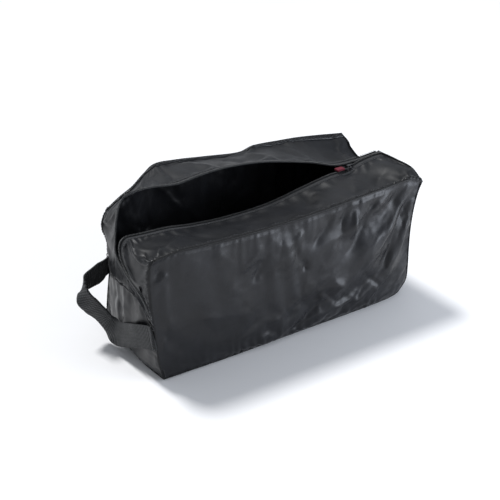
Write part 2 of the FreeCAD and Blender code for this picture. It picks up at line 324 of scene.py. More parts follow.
def facets(uv, scale, seed, slant=0.6, stretch=1.7):
    """Sharp creases between flat facets, 0 to 1: near 1 on a crease."""
    turn = np.array([[math.cos(slant), -math.sin(slant)], [math.sin(slant), math.cos(slant)]])
    drift = np.stack([rub(uv, scale * 1.3, seed + 2), rub(uv, scale * 1.3, seed + 4)], axis=2)
    drift = drift * scale * 0.22
    flat = ((uv + drift) @ turn).reshape(-1, 2) / np.array([scale * stretch, scale])
    values = []
    for u, v in flat:
        near, _ = noise.voronoi(Vector((u, v, seed)))
        values.append(1 - 1.6 * (near[1] - near[0]))
    return np.clip(np.array(values), 0, 1).reshape(uv.shape[:2])


def edge_fade(shape, reach_u, reach_v):
    """0 on the grid's edges, 1 inside."""
    nu, nv = shape
    u = np.minimum(np.arange(nu), np.arange(nu)[::-1])[:, None] / max(reach_u, 1)
    v = np.minimum(np.arange(nv), np.arange(nv)[::-1])[None, :] / max(reach_v, 1)
    return smooth(u) * smooth(v)


def folds(uv, creases):
    """Soft folds: each is a start, an end, a half width and a height, in mm on the cloth."""
    height = np.zeros(uv.shape[:2])
    for start, end, width, high in creases:
        a = np.array(start, float)
        d = np.array(end, float) - a
        length = np.linalg.norm(d)
        d /= length
        drift = np.stack([rub(uv, 34.0, width), rub(uv, 34.0, width + 7.0)], axis=2) * 5.0
        rel = uv + drift - a
        along = (rel @ d) / length
        across = np.abs(rel @ np.array([-d[1], d[0]]))
        taper = smooth(along / 0.25) * smooth((1 - along) / 0.35)
        spread = width * (0.6 + 0.7 * np.clip(along, 0, 1))
        height += high * taper * np.exp(-(across / spread) ** 1.4)
    return height


def pucker(uv, side, reach, pitch, high, seed):
    """Small gathers square to a seam on one side of the grid, dying out within reach."""
    span = uv[-1, -1]
    distance = {"top": span[1] - uv[..., 1], "bottom": uv[..., 1],
                "left": uv[..., 0], "right": span[0] - uv[..., 0]}[side]
    along = uv[..., 0] if side in ("top", "bottom") else uv[..., 1]
    drift = rub(uv, 25.0, seed) * 2.6
    wave = np.sin(2 * math.pi * along / pitch + drift * 2)
    amount = np.clip(0.55 + rub(uv, 40.0, seed + 3) * 1.1, 0, 1.2)
    near = smooth(distance / 2.0) * np.exp(-distance / reach)
    return high * wave * amount * near


# ---- simulated cloth
def relax(piece, shape, grow):
    """Let a pinned panel of slightly too much cloth buckle under its own weight."""
    nu, nv = shape
    group = piece.vertex_groups.new(name="sewn")
    edge = [i * nv + k for i in range(nu) for k in range(nv) if i in (0, nu - 1) or k in (0, nv - 1)]
    group.add(edge, 1.0, "REPLACE")
    cloth = piece.modifiers.new("cloth", "CLOTH")
    cloth.settings.quality = 6
    cloth.settings.mass = 0.12
    cloth.settings.tension_stiffness = 25
    cloth.settings.compression_stiffness = 25
    cloth.settings.shear_stiffness = 10
    cloth.settings.bending_stiffness = 4.0
    cloth.settings.air_damping = 4
    cloth.settings.vertex_group_mass = "sewn"
    cloth.settings.shrink_min = -grow
    cloth.collision_settings.use_collision = False
    cloth.collision_settings.use_self_collision = False
    cloth.point_cache.frame_start = 1
    cloth.point_cache.frame_end = SIM_FRAMES
    scene = bpy.context.scene
    for number in range(1, SIM_FRAMES + 1):
        scene.frame_set(number)
    depsgraph = bpy.context.evaluated_depsgraph_get()
    done = piece.evaluated_get(depsgraph)
    points = read_rows(done.data.vertices, "co", 3)
    piece.modifiers.remove(cloth)
    scene.frame_set(1)
    return points.reshape(nu, nv, 3) / MM


def busy_share(uv, calm):
    """How crumpled the cloth is: 1 right of calm, a share of the width, falling to 0.3 left of it."""
    return 0.3 + 0.7 * smooth((uv[..., 0] / uv[-1, -1, 0] - calm) / 0.25 + 1)


def crumpled(name, grid, bulge, grow, seed, creases, fine, flip=False, cap=9.0, rough=1.2,
             side_lift=None, groove=0.0, calm=0.0):
    """A panel: bulged, folded, simulated, refined, then puckered along its seams.

    grow is the extra cloth as a share, cap the most that the simulation may move a point, rough the height of the
    sharp crinkles, side_lift an extra bulge, groove the depth of the line pressed in beside the top seam, and calm
    the share of the width that stays flatter.
    """
    out = -1 if flip else 1
    normals = grid_normals(grid) * out
    uv = grid_uv(grid)
    fade = edge_fade(grid.shape[:2], grid.shape[0] * 0.4, grid.shape[1] * 0.4)
    near = edge_fade(grid.shape[:2], 3, 3)
    busy = busy_share(uv, calm)
    uneven = 1.6 * rub(uv, 46.0, seed) + 0.8 * rub(uv, 19.0, seed + 5)
    extra = 0 if side_lift is None else side_lift(uv)
    lift = bulge * fade + extra + near * (folds(uv, creases) + busy * uneven)
    start = grid + normals * lift[..., None]
    if grow > 0:
        trial = grid_mesh("cloth_trial", start)
        after = relax(trial, grid.shape[:2], grow)
        bpy.data.objects.remove(trial)
        shift = (after - start) * busy[..., None]
        size = np.linalg.norm(shift, axis=2, keepdims=True)
        start = start + shift * np.minimum(1, cap / np.maximum(size, 1e-6))
    surface = upsample(start)
    normals = grid_normals(surface) * out
    uv = grid_uv(surface)
    near = edge_fade(surface.shape[:2], 3, 3)
    busy = busy_share(uv, calm)
    active = busy * (0.25 + 0.75 * smooth(rub(uv, 55.0, seed + 31) + 0.5))
    in_or_out = np.clip(5 * rub(uv, 44.0, seed + 1) + 0.6, -1, 1)
    crease = rough * facets(uv, 26.0, seed + 9) ** 1.3 * in_or_out
    crease += 0.4 * rough * facets(uv, 11.0, seed + 14) ** 1.3
    lift = near * active * crease
    for side, reach, pitch, high in fine:
        lift = lift + pucker(uv, side, reach, pitch, high, seed + 20)
    below = uv[-1, -1, 1] - uv[..., 1]
    lift = lift - groove * np.exp(-((below - 3.0) / 1.6) ** 2)
    surface = surface + normals * lift[..., None]
    return grid_mesh(name, surface, flip), surface


# ---- materials
class Shader:
    """A Principled material built from small steps."""

    def __init__(self, name, color, roughness, **sockets):
        self.material = bpy.data.materials.new(name)
        self.material.use_nodes = True
        self.material.diffuse_color = (*color, 1)
        self.tree = self.material.node_tree
        self.surface = self.tree.nodes["Principled BSDF"]
        self.surface.inputs["Base Color"].default_value = (*color, 1)
        self.surface.inputs["Roughness"].default_value = roughness
        for socket, value in sockets.items():
            self.surface.inputs[socket.replace("_", " ")].default_value = value
        self.bumped = None

    def node(self, kind, **values):
        made = self.tree.nodes.new(kind)
        for key, value in values.items():
            if key in made.inputs:
                made.inputs[key].default_value = value
            else:
                setattr(made, key, value)
        return made

    def link(self, out, into):
        self.tree.links.new(out, into)

    def mapped(self, coordinates, scale):
        mapping = self.node("ShaderNodeMapping")
        mapping.inputs["Scale"].default_value = (scale, scale, scale)
        self.link(coordinates, mapping.inputs["Vector"])
        return mapping.outputs["Vector"]

    def uv(self):
        """Cloth coordinates in metres. The UV map holds ten times that."""
        return self.mapped(self.node("ShaderNodeUVMap", uv_map="UVMap").outputs["UV"], 0.1)

    def place(self):
        """Object coordinates in metres."""
        return self.mapped(self.node("ShaderNodeTexCoord").outputs["Object"], 1.0)

    def noise(self, vector, scale, detail=4.0, rough=0.55):
        made = self.node("ShaderNodeTexNoise", Scale=scale, Detail=detail, Roughness=rough)
        self.link(vector, made.inputs["Vector"])
        return made.outputs["Fac"]

    def wave(self, vector, scale, direction="X", distortion=0.0):
        made = self.node("ShaderNodeTexWave", Scale=scale, Distortion=distortion)
        made.bands_direction = direction
        self.link(vector, made.inputs["Vector"])
        return made.outputs["Fac"]

    def ramp(self, value, low, high, a=0.0, b=1.0):
        made = self.node("ShaderNodeMapRange")
        for key, number in (("From Min", low), ("From Max", high), ("To Min", a), ("To Max", b)):
            made.inputs[key].default_value = number
        self.link(value, made.inputs["Value"])
        return made.outputs["Result"]

    def math(self, operation, a, b):
        made = self.node("ShaderNodeMath", operation=operation)
        for socket, value in zip(made.inputs, (a, b)):
            if isinstance(value, float):
                socket.default_value = value
            else:
                self.link(value, socket)
        return made.outputs["Value"]

    def color(self, value, dark, light):
        mix = self.node("ShaderNodeMix", data_type="RGBA")
        mix.inputs[6].default_value = (*dark, 1)
        mix.inputs[7].default_value = (*light, 1)
        self.link(value, mix.inputs[0])
        self.link(mix.outputs[2], self.surface.inputs["Base Color"])

    def rough(self, value):
        self.link(value, self.surface.inputs["Roughness"])

    def bump(self, height, strength, distance):
        made = self.node("ShaderNodeBump", Strength=strength, Distance=distance)
        self.link(height, made.inputs["Height"])
        if self.bumped is not None:
            self.link(self.bumped, made.inputs["Normal"])
        self.bumped = made.outputs["Normal"]
        self.link(self.bumped, self.surface.inputs["Normal"])


def nylon(name, dark, light, gloss=0.33):
    """Coated taffeta: fine plain weave, soft crinkles, uneven gloss."""
    s = Shader(name, dark, gloss, Specular_IOR_Level=0.27, Sheen_Weight=0.02, Sheen_Roughness=0.4)
    cloth = s.uv()
    broad = s.noise(cloth, 26.0, 3.0)
    grain = s.noise(cloth, 420.0, 3.0)
    s.color(s.ramp(s.math("ADD", broad, s.math("MULTIPLY", grain, 0.35)), 0.45, 0.9), dark, light)
    s.rough(s.ramp(s.noise(cloth, 60.0, 5.0), 0.3, 0.75, gloss - 0.04, gloss + 0.12))
    s.bump(s.noise(cloth, 60.0, 4.0, 0.5), 0.22, 0.0013)
    s.bump(s.noise(cloth, 300.0, 3.0, 0.5), 0.08, 0.0003)
    weave = s.math("MULTIPLY", s.wave(cloth, 420.0, "X"), s.wave(cloth, 420.0, "Y"))
    s.bump(weave, 0.12, 0.00012)
    return s.material


def ribbed_webbing(name):
    """Polypropylene webbing: ribs across the strap and rows of yarn along it."""
    s = Shader(name, (0.012, 0.013, 0.014), 0.62, Specular_IOR_Level=0.3, Sheen_Weight=0.04, Sheen_Roughness=0.5)
    cloth = s.uv()
    ribs = s.wave(cloth, 120.0, "X", 0.6)
    yarn = s.wave(cloth, 95.0, "Y", 0.4)
    woven = s.math("MULTIPLY", ribs, s.math("ADD", 0.6, s.math("MULTIPLY", yarn, 0.4)))
    s.color(s.ramp(s.math("ADD", woven, s.math("MULTIPLY", s.noise(cloth, 300.0), 0.4)), 0.1, 1.2),
            (0.0035, 0.0038, 0.0042), (0.036, 0.039, 0.042))
    s.rough(s.ramp(s.noise(cloth, 90.0), 0.3, 0.7, 0.5, 0.72))
    s.bump(woven, 1.0, 0.0008)
    return s.material


def woven_tape(name, dark, light):
    """Herringbone polyester tape."""
    s = Shader(name, dark, 0.7, Specular_IOR_Level=0.3, Sheen_Weight=0.06, Sheen_Roughness=0.5)
    cloth = s.uv()
    twill = s.wave(cloth, 330.0, "DIAGONAL", 0.3)
    s.color(s.ramp(s.math("ADD", twill, s.noise(cloth, 200.0)), 0.4, 1.5), dark, light)
    s.rough(s.ramp(s.noise(cloth, 120.0), 0.3, 0.7, 0.6, 0.8))
    s.bump(twill, 0.5, 0.0003)
    return s.material


def moulded(name, dark, light, roughness, metallic=0.0, coat=0.0):
    """Nylon coil or enamelled metal, with fine wear and unevenness."""
    s = Shader(name, dark, roughness, Metallic=metallic, Coat_Weight=coat)
    where = s.place()
    wear = s.noise(where, 350.0, 6.0, 0.7)
    s.color(s.ramp(wear, 0.45, 0.75), dark, light)
    s.rough(s.ramp(s.noise(where, 700.0), 0.3, 0.7, roughness - 0.08, roughness + 0.1))
    s.bump(s.noise(where, 900.0), 0.15, 0.0002)
    return s.material


def stitched(name, dark, light):
    """Twisted sewing thread, dense enough to look like a small ribbed block."""
    s = Shader(name, dark, 0.6, Sheen_Weight=0.3)
    where = s.place()
    twist = s.wave(where, 700.0, "DIAGONAL", 1.0)
    s.color(s.ramp(twist, 0.2, 0.9), dark, light)
    s.bump(twist, 0.5, 0.0002)
    return s.material


def floor_paint(name):
    """A matt white studio sweep."""
    s = Shader(name, (0.86, 0.86, 0.87), 0.7)
    where = s.place()
    s.color(s.ramp(s.noise(where, 3.0), 0.3, 0.7), (0.85, 0.85, 0.86), (0.88, 0.88, 0.885))
    return s.material


NYLON = nylon("coated_nylon", (0.0068, 0.0069, 0.0078), (0.0125, 0.0131, 0.0155), 0.33)
# the top strips' nylon: the same fabric with rougher gloss, its colour darkened as painted shade to hold down the
# light on the top
NYLON_TOP_SHADED = nylon("coated_nylon_top_shaded", (0.0060, 0.0064, 0.0074), (0.0108, 0.0118, 0.0146), 0.42)
# the welts' nylon: the same fabric made much darker, as painted shade that draws the seams as dark lines
SEAM_FOLD_SHADED = nylon("seam_fold_shaded", (0.0020, 0.0020, 0.0023), (0.0050, 0.0052, 0.0060), 0.5)
WEBBING = ribbed_webbing("webbing")
ZIP_TAPE = woven_tape("zip_tape", (0.010, 0.011, 0.012), (0.035, 0.037, 0.041))
BINDING = woven_tape("binding_tape", (0.014, 0.014, 0.015), (0.040, 0.040, 0.042))
COIL = moulded("zip_coil", (0.016, 0.017, 0.018), (0.045, 0.047, 0.05), 0.38)
METAL = moulded("slider_enamel", (0.02, 0.02, 0.022), (0.16, 0.16, 0.165), 0.35, 0.7, 0.3)
RED = woven_tape("red_tab", (0.10, 0.004, 0.014), (0.30, 0.018, 0.05))
THREAD = stitched("thread", (0.012, 0.012, 0.013), (0.07, 0.072, 0.08))


def finish_piece(piece, material, slot, *nodes):
    """Give a piece its material and hide the CAD nodes it stands for."""
    piece.data.materials.clear()
    piece.data.materials.append(material)
    if nodes:
        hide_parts(*nodes)
    return piece


def thicken(piece, thickness):
    """Real thickness, applied, so that edges and inner faces show."""
    solid = piece.modifiers.new("thickness", "SOLIDIFY")
    solid.thickness = thickness * MM
    solid.offset = -1
    bpy.context.view_layer.objects.active = piece
    with bpy.context.temp_override(object=piece, active_object=piece, selected_objects=[piece]):
        bpy.ops.object.modifier_apply(modifier="thickness")
    return piece


# ---- tubes
def frames_along(line, up):
    """The two side vectors at each point of a line."""
    t = np.gradient(line, axis=0)
    t /= np.maximum(np.linalg.norm(t, axis=1, keepdims=True), 1e-9)
    side = np.cross(t, np.array(up, float))
    side /= np.maximum(np.linalg.norm(side, axis=1, keepdims=True), 1e-9)
    return side, np.cross(side, t)


def tube(name, line, radius, sides, up, ripple=0.0, pitch=3.0):
    """A round welt along a line, with a slight stitch ripple."""
    side, lift = frames_along(line, up)
    along = distances(line)
    r = radius * (1 + ripple * np.sin(2 * math.pi * along / pitch))
    angle = np.linspace(0, 2 * math.pi, sides, endpoint=False)
    ring = np.cos(angle)[None, :, None] * side[:, None, :] + np.sin(angle)[None, :, None] * lift[:, None, :]
    points = line[:, None, :] + ring * r[:, None, None]
    n = len(line)
    faces = sleeve(0, n, sides)
    faces.append(tuple(range(sides))[::-1])
    faces.append(tuple((n - 1) * sides + k for k in range(sides)))
    uv = np.stack(np.broadcast_arrays(along[:, None], angle[None, :] * radius), axis=2)
    return add_mesh(name, points.reshape(-1, 3), faces, uv.reshape(-1, 2))


def welt(name, points, up, radius):
    """The raised folded edge where two panels are sewn together, in nylon darkened as painted shade along the seam.
    """
    count = max(12, int(line_length(np.array(points, float)) / 1.5))
    piece = tube(name, spline(points, count), radius, 8, up, 0.16, 2.9)
    finish_piece(piece, SEAM_FOLD_SHADED, "bag_nylon")
    return piece


# ---- panels
def count_for(line):
    """Grid points along an edge."""
    return int(round(line_length(np.array(line, float)) / GRID)) + 1


def lean_right(uv):
    """The front swells towards its right third and falls away to the right seam."""
    u = uv[..., 0] / uv[-1, -1, 0]
    v = uv[..., 1] / uv[-1, -1, 1]
    return 5.0 * np.sin(math.pi * np.clip(u, 0, 1) ** 1.6) * np.sin(math.pi * v) ** 0.8


def sewn_panel(name, node, grid, bulge, grow, seed, creases, fine, **look):
    """One crumpled panel with its real thickness, standing for a CAD node."""
    piece, _ = crumpled(name, grid, bulge, grow, seed, creases, fine, **look)
    finish_piece(piece, NYLON, "bag_nylon", node)
    return thicken(piece, PANEL_THICK)


def side_line(post, stations, first, last):
    """A bag corner's vertical seam: up the post, then on along the strip's first stations."""
    return np.vstack([spline(post, 60)[:-1], spline(seam_points(stations, first, last), 60)])


def front_panel():
    """The large front, with folds fanning from its top right corner."""
    top = spline(seam_points(FRONT_STATIONS, FRONT_CORNER), 200)
    left = side_line(POST_FRONT_LEFT, FRONT_STATIONS, 0, FRONT_CORNER + 1)
    right = spline(POST_FRONT_RIGHT, 100)
    grid = coons(spline(FLOOR_FRONT, 200), top, left, right, count_for(top), 37, 0.5)
    creases = [
        ((316, 138), (238, 38), 7, 4.2), ((312, 128), (275, 30), 6, -3.2), ((306, 139), (205, 70), 8, -3.4),
        ((296, 134), (170, 92), 7, 2.6), ((318, 120), (300, 40), 4, 2.4), ((262, 134), (228, 84), 6, -3.0),
        ((226, 132), (196, 66), 7, 3.0), ((206, 134), (180, 96), 5, -2.4), ((170, 130), (142, 88), 6, 2.0),
        ((120, 20), (190, 60), 8, 2.4), ((150, 4), (212, 46), 6, -3.4), ((186, 3), (236, 50), 6, 2.0),
        ((215, 3), (262, 42), 5, -2.2), ((222, 131), (214, 86), 6, -4.2), ((238, 128), (231, 90), 5, 3.4),
        ((248, 12), (206, 62), 4, 2.0), ((282, 20), (236, 66), 4, -2.2), ((250, 4), (300, 52), 7, 1.4),
        ((60, 128), (110, 96), 7, 1.8), ((20, 116), (12, 40), 5, 1.6), ((40, 60), (120, 44), 9, 1.6),
        ((1, 116), (14, 128), 3.5, -3.0), ((2, 110), (16, 119), 3, 2.4), ((10, 52), (4, 30), 3, 2.4),
        ((190, 20), (306, 120), 20, 5.5), ((178, 74), (150, 120), 5, -3.2), ((168, 76), (160, 126), 4, 2.4),
        ((96, 96), (120, 126), 4, 2.2), ((112, 80), (128, 112), 3.5, -2.2),
    ]
    fine = [("top", 5, 5.5, 0.45), ("bottom", 11, 10.0, 1.0), ("right", 7, 9.0, 0.5), ("left", 6, 11.0, 0.45)]
    return sewn_panel("front_panel_cloth", "front_panel", grid, 2.0, 0.008, 3.0, creases, fine, cap=3.5, rough=1.9,
                      side_lift=lean_right, groove=0.9, calm=0.42)


def back_panel():
    """The back, sagging at its left corner."""
    top = spline(seam_points(BACK_STATIONS, BACK_CORNER), 200)
    left = side_line(POST_BACK_LEFT, BACK_STATIONS, BACK_FOOT, BACK_CORNER + 1)
    right = spline(POST_BACK_RIGHT, 100)
    grid = coons(spline(FLOOR_BACK, 200), top, left, right, count_for(top), 38, 0.5)
    creases = [
        ((30, 120), (110, 40), 8, 3.5), ((60, 138), (150, 60), 7, -3.0), ((20, 90), (90, 20), 6, -2.5),
        ((180, 140), (150, 70), 7, 2.6), ((230, 140), (215, 60), 8, -2.6), ((300, 140), (240, 50), 7, 3.0),
        ((140, 6), (190, 50), 6, 2.2), ((220, 5), (180, 48), 6, -2.0),
    ]
    fine = [("top", 9, 9.0, 0.8), ("bottom", 11, 10.0, 0.8), ("right", 7, 9.0, 0.5), ("left", 7, 9.0, 0.6)]
    return sewn_panel("back_panel_cloth", "back_panel", grid, 2.5, 0.014, 13.0, creases, fine, flip=True, cap=5.0,
                      groove=1.0)


def left_end():
    """The end below the strips, bowed out behind the carry loop."""
    grid = coons(spline(FLOOR_LEFT, 80), spline(end_seam(), 120), spline(POST_FRONT_LEFT, 60),
                 spline(POST_BACK_LEFT, 60), 36, 20, 0.5)
    creases = [
        ((112, 74), (108, 10), 6, 2.0), ((92, 70), (96, 16), 5, -1.6), ((60, 66), (70, 10), 7, 1.6),
        ((30, 56), (40, 10), 5, -1.6), ((128, 70), (124, 10), 4, -1.6),
    ]
    fine = [("top", 6, 8.0, 0.5), ("bottom", 8, 10.0, 0.7), ("left", 6, 9.0, 0.5), ("right", 6, 9.0, 0.5)]
    return sewn_panel("left_end_cloth", "left_end_panel", grid, 2.0, 0.012, 23.0, creases, fine, flip=True, cap=4.0)


def right_end():
    """The plain end, dished in between its corners."""
    rim = np.vstack([spline(RIM_FRONT, 60)[:-1], spline(RIM_BACK, 60)[::-1]])
    grid = coons(spline(FLOOR_RIGHT, 80), rim, spline(POST_FRONT_RIGHT, 80), spline(POST_BACK_RIGHT, 80),
                 36, 37, 0.5)
    creases = [
        ((10, 130), (60, 60), 7, 2.6), ((20, 138), (76, 90), 6, -2.4), ((128, 140), (80, 60), 7, 2.4),
        ((118, 120), (70, 40), 6, -2.0), ((60, 10), (40, 50), 6, 1.8), ((86, 8), (100, 50), 6, -1.8),
    ]
    fine = [("top", 9, 9.0, 0.7), ("bottom", 9, 10.0, 0.7), ("left", 6, 9.0, 0.5), ("right", 6, 9.0, 0.5)]
    return sewn_panel("right_end_cloth", "right_end_panel", grid, 2.0, 0.018, 33.0, creases, fine, cap=5.0)


def bottom_panel():
    """The base, flat on what the bag stands on."""
    grid = coons(spline(FLOOR_FRONT, 200), spline(FLOOR_BACK, 200), spline(FLOOR_LEFT, 80),
                 spline(FLOOR_RIGHT, 80), 81, 36, 0.3)
    inside = edge_fade(grid.shape[:2], 4, 4)
    uv = grid_uv(grid)
    level = 0.9 + 0.5 * rub(uv, 40.0, 43.0) + 0.25 * rub(uv, 15.0, 47.0)
    grid[..., 2] = grid[..., 2] * (1 - inside) + np.maximum(level, 0.45) * inside
    piece = grid_mesh("bottom_panel_cloth", upsample(grid), flip=True)
    finish_piece(piece, NYLON, "bag_nylon", "bottom_panel")
    return thicken(piece, BOTTOM_THICK)


# ---- zip strips
def pull_back(zip_line, seam_line, distance):
    """The zip line moved towards the seam line by a distance."""
    return zip_line + unit(seam_line - zip_line) * distance


def strip_surface(stations, foot, rim, flip, seed, creases, bow):
    """One half of the top with its run down the left end, as cloth."""
    seam = spline_by_station(seam_points(stations), STRIP_SAMPLES)
    zips = spline_by_station(zip_points(stations), STRIP_SAMPLES)
    edge = pull_back(zips, seam, TAPE)
    nu = int(round(line_length(seam) / STRIP_GRID)) + 1
    pick = np.linspace(0, STRIP_SAMPLES - 1, nu)
    v = np.linspace(0, 1, STRIP_ROWS)[None, :, None]
    grid = (1 - v) * at(seam, pick)[:, None, :] + v * at(edge, pick)[:, None, :]
    foot_side = off_straight(resample(spline(foot, 80), STRIP_ROWS), v[0])
    rim_side = off_straight(resample(spline(rim, 80), STRIP_ROWS), v[0])
    u = np.linspace(0, 1, nu)[:, None, None]
    grid = grid + (1 - smooth(u / 0.10)) * foot_side[None] + (1 - smooth((1 - u) / 0.13)) * rim_side[None]
    normals = grid_normals(grid) * (-1 if flip else 1)
    across = np.sin(math.pi * np.linspace(0, 1, STRIP_ROWS))[None, :]
    ends = smooth(np.linspace(0, 1, nu) / 0.08) * smooth((1 - np.linspace(0, 1, nu)) / 0.08)
    grid = grid + normals * (bow * across * ends[:, None])[..., None]
    fine = [("top", 6, 8.0, 0.3), ("bottom", 8, 8.5, 0.45)]
    piece, surface = crumpled("strip", grid, 0.0, 0.010, seed, creases, fine, flip, cap=3.0, rough=0.6)
    return piece, surface, zips


def read_rows(items, field, width):
    """One row of numbers for each of a mesh's items."""
    values = np.zeros(len(items) * width)
    items.foreach_get(field, values)
    return values.reshape(-1, width)


def cut_rim(kept, layer_count):
    """Quads closing the cut edge between the outer and inner layer of a thickened piece."""
    sides = {(face[k - 1], face[k]) for face in kept for k in range(len(face))}
    return [(b, a, a + layer_count, b + layer_count) for a, b in sides
            if (b, a) not in sides and max(a, b) < layer_count]


def cut_in_two(piece, left_name, right_name, layered=True):
    """Split a finished piece at SPLIT_X, keeping the whole piece's shading normals."""
    mesh = piece.data
    corner_normals = read_rows(mesh.corner_normals, "vector", 3)
    uv = read_rows(mesh.uv_layers[0].data, "uv", 2)
    points = read_rows(mesh.vertices, "co", 3)
    layer_count = len(points) // 2 if layered else len(points)
    halves = []
    for name, keep_left in ((left_name, True), (right_name, False)):
        index = {}
        kept = []
        loops = []
        for polygon in mesh.polygons:
            middle = points[[v % layer_count for v in polygon.vertices]][:, 0].mean()
            if (middle < SPLIT_X * MM) != keep_left:
                continue
            kept.append(list(polygon.vertices))
            loops.extend(polygon.loop_indices)
        if layered:
            corner = {v: loop for face, first in zip(kept, np.cumsum([0] + [len(f) for f in kept]))
                      for v, loop in zip(face, loops[first:first + len(face)])}
            for face in sorted(cut_rim(kept, layer_count)):
                kept.append(list(face))
                loops.extend(corner[v] for v in face)
        faces = [[index.setdefault(v, len(index)) for v in face] for face in kept]
        half = bpy.data.meshes.new(name)
        half.from_pydata(points[list(index)].tolist(), [], faces)
        half.shade_smooth()
        layer = half.uv_layers.new(name="UVMap")
        layer.data.foreach_set("uv", uv[loops].ravel())
        half.normals_split_custom_set(corner_normals[loops].tolist())
        made = bpy.data.objects.new(name, half)
        bpy.context.collection.objects.link(made)
        for material in mesh.materials:
            half.materials.append(material)
        halves.append(made)
    bpy.data.objects.remove(piece)
    return halves


def bend(piece):
    """Bake the piece's placement into its mesh."""
    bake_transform(piece)


def split_piece(piece, material, slot, left_nodes=(), right_nodes=(), layered=True):
    """Cut a piece in two, give both halves its material, hide the CAD nodes they stand for, and bake their
    transforms.
    """
    finish_piece(piece, material, slot)
    left, right = cut_in_two(piece, piece.name + "_left", piece.name + "_right", layered)
    finish_piece(left, material, slot, *left_nodes)
    finish_piece(right, material, slot, *right_nodes)
    bend(left)
    bend(right)


def make_strip(side, stations, foot, rim, flip, seed, creases, bow):
    """Fabric of one strip, cut into its left and right pieces."""
    piece, surface, zips = strip_surface(stations, foot, rim, flip, seed, creases, bow)
    finish_piece(piece, NYLON_TOP_SHADED, "bag_nylon")
    thicken(piece, STRIP_THICK)
    left, right = cut_in_two(piece, side + "_strip_left_cloth", side + "_strip_right_cloth")
    finish_piece(left, NYLON_TOP_SHADED, "bag_nylon", side + "_end_gore", side + "_zip_strip")
    finish_piece(right, NYLON_TOP_SHADED, "bag_nylon", side + "_fixed_top")
    bend(left)
    bend(right)
    return surface, zips


def ribbon(name, line, across, half_width, rows, thickness):
    """A flat strap along a line. across points over its width."""
    offsets = np.linspace(-half_width, half_width, rows)
    grid = line[:, None, :] + across[:, None, :] * offsets[None, :, None]
    return thicken(grid_mesh(name, grid), thickness)


def zip_frames(zips, surface):
    """Along the zip: unit vectors over the tape towards the coil, and out of its face."""
    where = np.linspace(0, surface.shape[0] - 1, len(zips))
    edge = at(surface[:, -1, :], where)
    inner = at(surface[:, -5, :], where)
    along = unit(np.gradient(zips, axis=0))
    across = (zips - edge) * 0.8 + (edge - inner) * 0.2
    across = unit(across - along * (across * along).sum(axis=1, keepdims=True))
    return along, across, np.cross(along, across), edge


def teeth(name, line, along, across, face):
    """A nylon coil: one rounded loop per pitch, lying across the tape's edge."""
    wide, long, high = COIL_LOOP
    number = int(line_length(line) / COIL_PITCH)
    where = np.interp((np.arange(number) + 0.5) * COIL_PITCH, distances(line), np.arange(len(line)))
    ring = [(-1, -0.6), (-0.6, -1), (0.6, -1), (1, -0.6), (1, 0.6), (0.6, 1), (-0.6, 1), (-1, 0.6)]
    verts = []
    faces = []
    for middle, a, c, f in zip(*(at(values, where) for values in (line, along, across, face))):
        base = len(verts)
        for end, shrink in ((-1.0, 0.55), (-0.8, 1.0), (0.8, 1.0), (1.0, 0.55)):
            centre = middle + (c + a * 0.25) * end * long
            for p, q in ring:
                verts.append(centre + a * p * wide * shrink + f * q * high * shrink)
        faces.extend(sleeve(base, 4, len(ring)))
        faces.append(tuple(base + m for m in range(8))[::-1])
        faces.append(tuple(base + 24 + m for m in range(8)))
    return add_mesh(name, np.array(verts), faces, np.zeros((len(verts), 2)))


def sleeve(base, rings, sides):
    """Quads joining rings of vertices, the first of which is base."""
    return [(base + k * sides + m, base + k * sides + (m + 1) % sides,
             base + (k + 1) * sides + (m + 1) % sides, base + (k + 1) * sides + m)
            for k in range(rings - 1) for m in range(sides)]


def stitches(name, line, face, pitch=3.2, length=2.3, radius=0.22):
    """A row of thread stitches lying on the cloth."""
    along = distances(line)
    index = np.arange(len(line))
    verts = []
    faces = []
    for n in range(int(line_length(line) / pitch)):
        base = len(verts)
        for part in range(4):
            x = np.interp((n + 0.1) * pitch + length * part / 3, along, index)
            p, after, before = at(line, [x, x + 1, x - 1])
            f = at(face, [x])[0]
            ahead = after - p
            if np.linalg.norm(ahead) < 1e-6:
                ahead = p - before
            ahead /= np.linalg.norm(ahead)
            s = np.cross(f, ahead)
            arch = 0.12 if part in (1, 2) else -0.15
            for m in range(6):
                angle = m * math.pi / 3
                verts.append(p + f * (arch + radius * math.sin(angle)) + s * radius * math.cos(angle))
        faces.extend(sleeve(base, 4, 6))
    return add_mesh(name, np.array(verts), faces, np.zeros((len(verts), 2)))


def make_zip_half(side, zips, surface):
    """Tape, coil and topstitching along one zip edge, each in a left and a right piece."""
    along, across, face, edge = zip_frames(zips, surface)
    up = 1.0 if (face[len(face) // 2, 2] > 0) else -1.0
    face = face * up
    middle = zips - across * (TAPE * 0.5 + 1.0) - face * 0.45
    tape = ribbon(side + "_tape", middle, across, TAPE * 0.5 + 2.0, 5, TAPE_THICK)
    coil = teeth(side + "_coil", zips + face * 0.5, along, across, face)
    sewn = stitches(side + "_topstitch", edge - across * 1.6 + face * 0.15, face)
    # the closed length of tape and coil is one CAD node each, and the front half stands for it
    closed_tape, closed_coil = (("closed_zip_tape",), ("closed_zip_coil",)) if side == "front" else ((), ())
    split_piece(tape, ZIP_TAPE, "zip_tape", (side + "_end_zip", side + "_zip_tape"), closed_tape)
    split_piece(coil, COIL, "zip_coil", (side + "_zip_coil",), closed_coil, layered=False)
    split_piece(sewn, THREAD, "thread", layered=False)


